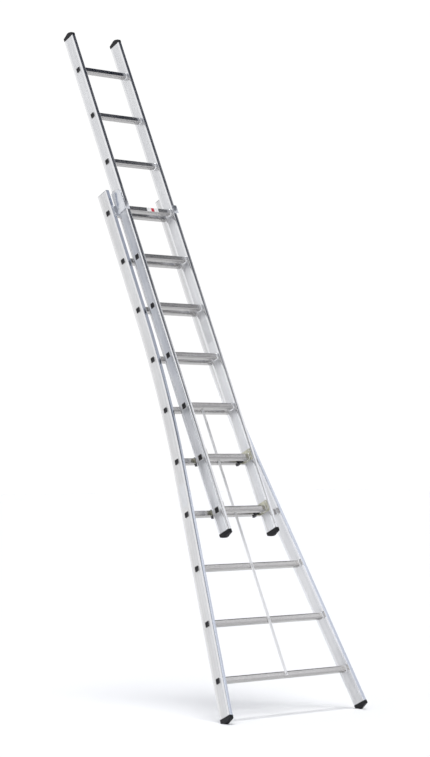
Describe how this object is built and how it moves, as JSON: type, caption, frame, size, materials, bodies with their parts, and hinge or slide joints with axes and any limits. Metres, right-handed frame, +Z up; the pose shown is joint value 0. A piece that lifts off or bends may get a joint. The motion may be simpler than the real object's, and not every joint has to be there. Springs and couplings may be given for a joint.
{
  "type": "extension ladder",
  "caption": "Push-up aluminium extension ladder: a sliding fly in front of a base whose stiles curve outward to a wide stance, with rung claws and guide brackets.",
  "frame": {"origin": "centre of the bounding box, on the ground under the soles of the feet", "axes": "+Z up, +X to the climber's right, +Y towards the wall that the ladder leans back against; stiles lean 25 degrees back from the vertical"},
  "size_m": [0.9062, 1.592, 3.4655],
  "materials": {
    "stile_aluminium": "extruded, fine lines along the stile, satin",
    "rung_aluminium": "extruded, fluted, satin",
    "bracket_aluminium": "bent sheet, satin",
    "strip_aluminium": "flat bar, satin",
    "black_plastic": "moulded, fine grain",
    "grey_plastic": "moulded, fine grain",
    "zinc_steel": "yellow zinc plated sheet",
    "dark_steel": "black coated steel",
    "fastener_steel": "bright zinc plated",
    "blank_label": "blank printed film"
  },
  "bodies": {
    "base_section": {"base_stile_left": "stile_aluminium", "base_stile_right": "stile_aluminium", "base_rung_1": "rung_aluminium", "base_rung_2": "rung_aluminium", "base_rung_3": "rung_aluminium", "base_rung_4": "rung_aluminium", "base_rung_5": "rung_aluminium", "base_rung_6": "rung_aluminium", "base_rung_7": "rung_aluminium", "base_rung_8": "rung_aluminium", "base_rung_9": "rung_aluminium", "base_rung_10": "rung_aluminium", "base_foot_left": "black_plastic", "base_foot_right": "black_plastic", "base_top_plug_left": "grey_plastic", "base_top_plug_right": "grey_plastic", "guide_bracket_left": "bracket_aluminium", "guide_bracket_right": "bracket_aluminium", "guide_rivet_left_1": "fastener_steel", "guide_rivet_left_2": "fastener_steel", "guide_rivet_right_1": "fastener_steel", "guide_rivet_right_2": "fastener_steel", "tie_strip": "strip_aluminium", "tie_screw_5": "fastener_steel", "tie_screw_6": "fastener_steel", "tie_screw_7": "fastener_steel", "tie_screw_8": "fastener_steel", "tie_screw_9": "fastener_steel", "tie_screw_10": "fastener_steel"},
    "fly_section": {"fly_stile_left": "stile_aluminium", "fly_stile_right": "stile_aluminium", "fly_rung_1": "rung_aluminium", "fly_rung_2": "rung_aluminium", "fly_rung_3": "rung_aluminium", "fly_rung_4": "rung_aluminium", "fly_rung_5": "rung_aluminium", "fly_rung_6": "rung_aluminium", "fly_rung_7": "rung_aluminium", "fly_rung_8": "rung_aluminium", "fly_rung_9": "rung_aluminium", "fly_rung_10": "rung_aluminium", "fly_top_cap_left": "black_plastic", "fly_top_cap_right": "black_plastic", "fly_bottom_cap_left": "black_plastic", "fly_bottom_cap_right": "black_plastic", "claw_plate_upper_left": "zinc_steel", "claw_plate_upper_right": "zinc_steel", "claw_plate_lower_left": "zinc_steel", "claw_plate_lower_right": "zinc_steel", "claw_pin_upper_left": "fastener_steel", "claw_pin_upper_right": "fastener_steel", "claw_pin_lower_left": "fastener_steel", "claw_pin_lower_right": "fastener_steel"},
    "claw_upper_left_body": {"claw_upper_left": "dark_steel"},
    "claw_upper_right_body": {"claw_upper_right": "dark_steel"},
    "claw_lower_left_body": {"claw_lower_left": "dark_steel"},
    "claw_lower_right_body": {"claw_lower_right": "dark_steel"}
  },
  "joints": [
    {"name": "fly_slide", "type": "slide", "parent": "base_section", "child": "fly_section", "axis": [0, 0.4226, 0.9063], "range_m": [-0.84, 0.84]},
    {"name": "claw_upper_left_swing", "type": "hinge", "parent": "fly_section", "child": "claw_upper_left_body", "pos_m": [-0.136, -0.23002, 1.21504], "axis": [0, -0.4226, -0.9063], "range_deg": [0, 90]},
    {"name": "claw_upper_right_swing", "type": "hinge", "parent": "fly_section", "child": "claw_upper_right_body", "pos_m": [0.136, -0.23002, 1.21504], "axis": [0, 0.4226, 0.9063], "range_deg": [0, 90]},
    {"name": "claw_lower_left_swing", "type": "hinge", "parent": "fly_section", "child": "claw_lower_left_body", "pos_m": [-0.136, -0.34835, 0.96127], "axis": [0, -0.4226, -0.9063], "range_deg": [0, 90]},
    {"name": "claw_lower_right_swing", "type": "hinge", "parent": "fly_section", "child": "claw_lower_right_body", "pos_m": [0.136, -0.34835, 0.96127], "axis": [0, 0.4226, 0.9063], "range_deg": [0, 90]}
  ]
}
